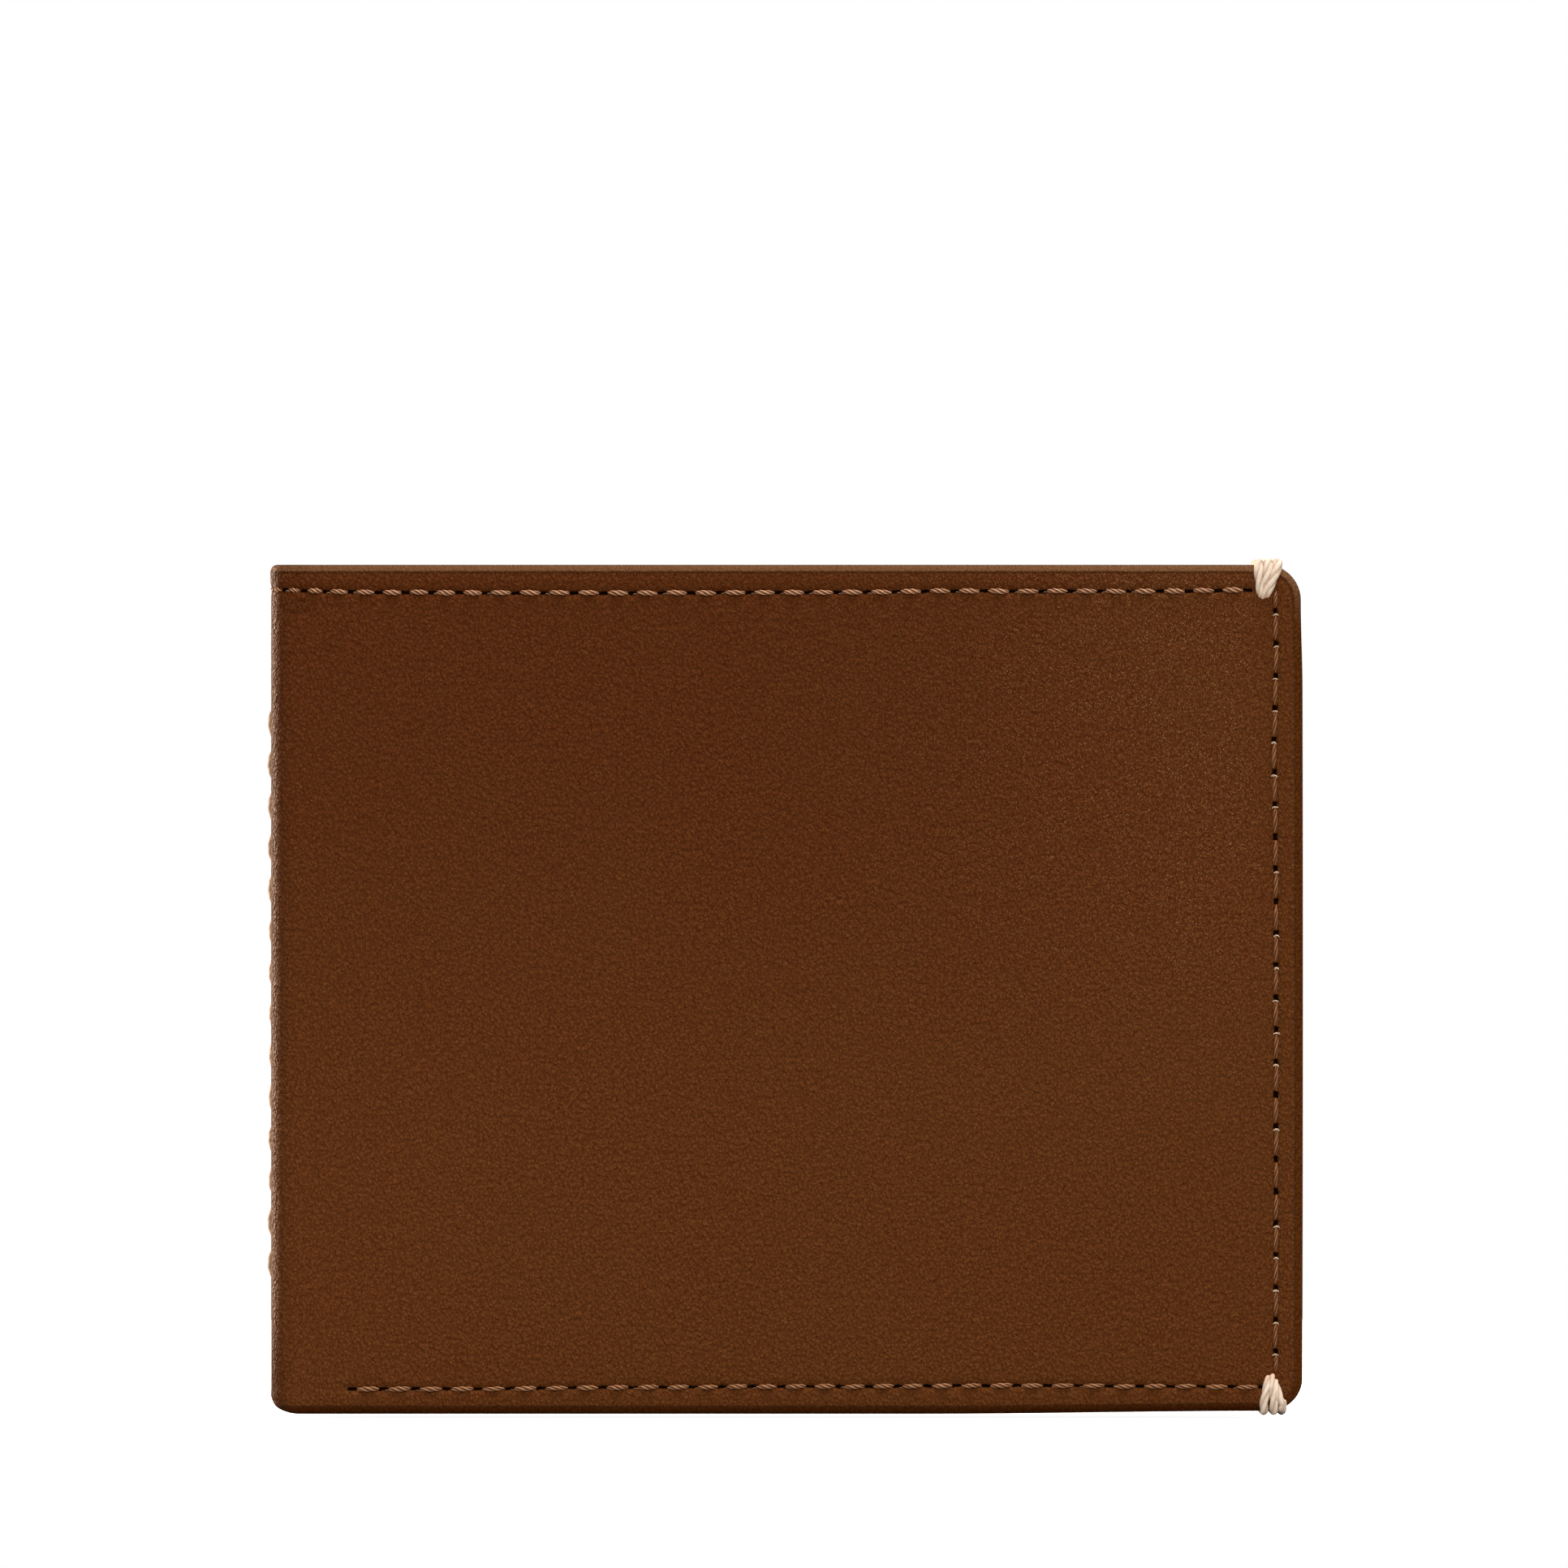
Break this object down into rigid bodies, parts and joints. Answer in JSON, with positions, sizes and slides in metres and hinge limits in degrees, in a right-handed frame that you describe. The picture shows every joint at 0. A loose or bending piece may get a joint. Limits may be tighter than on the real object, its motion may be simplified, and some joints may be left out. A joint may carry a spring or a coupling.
{
  "type": "bifold wallet",
  "caption": "Rectangular leather bifold wallet with rounded fore-edge corners, sewn edges and tacked corners, a bill compartment and stepped card pockets, opening flat at its spine.",
  "frame": {"origin": "middle of the bottom edge of the closed wallet, at mid thickness", "axes": "+X from the spine to the fore edge, +Y from the front cover to the back cover, +Z from the bottom edge to the top edge"},
  "size_m": [0.1084, 0.0186, 0.0897],
  "materials": {
    "cover_leather": "dark brown pebble-grained leather, satin, slightly mottled",
    "pocket_leather": "smooth dark brown lining leather, satin",
    "lining": "dark brown twill lining",
    "board": "pressed leather-fibre board",
    "thread": "light brown twisted thread, slightly waxed",
    "thick_thread": "cream twisted thick thread"
  },
  "bodies": {
    "back_half": {"back_cover": "cover_leather", "back_reinforcement": "board", "back_cover_lining": "lining", "back_bill_lining": "lining", "back_pocket_base": "pocket_leather", "back_card_pocket_1": "pocket_leather", "back_card_pocket_2": "pocket_leather", "back_card_pocket_3": "pocket_leather", "back_seam_margins": "pocket_leather", "back_top_stitching": "thread", "back_fore_edge_stitching": "thread", "back_bottom_stitching": "thread", "back_top_tack": "thick_thread", "back_bottom_tack": "thick_thread"},
    "spine": {"spine_cover": "cover_leather", "spine_lining": "lining", "spine_inner_lining": "lining", "spine_stitching": "thick_thread", "spine_top_stitching": "thread"},
    "front_half": {"front_cover": "cover_leather", "front_reinforcement": "board", "front_cover_lining": "lining", "front_bill_lining": "lining", "front_pocket_base": "pocket_leather", "front_card_pocket_1": "pocket_leather", "front_card_pocket_2": "pocket_leather", "front_card_pocket_3": "pocket_leather", "front_seam_margins": "pocket_leather", "front_top_stitching": "thread", "front_fore_edge_stitching": "thread", "front_bottom_stitching": "thread", "front_top_tack": "thick_thread", "front_bottom_tack": "thick_thread"}
  },
  "joints": [
    {"name": "back_fold", "type": "hinge", "parent": "back_half", "child": "spine", "pos_m": [-0.05357, 0.00857, 0.0445], "axis": [0, 0, -1], "range_deg": [0, 90]},
    {"name": "front_fold", "type": "hinge", "parent": "spine", "child": "front_half", "pos_m": [-0.05357, -0.00857, 0.0445], "axis": [0, 0, -1], "range_deg": [0, 90]}
  ],
  "couplings": [
    {"joint": "front_fold", "follows": "back_fold", "ratio": 1}
  ]
}
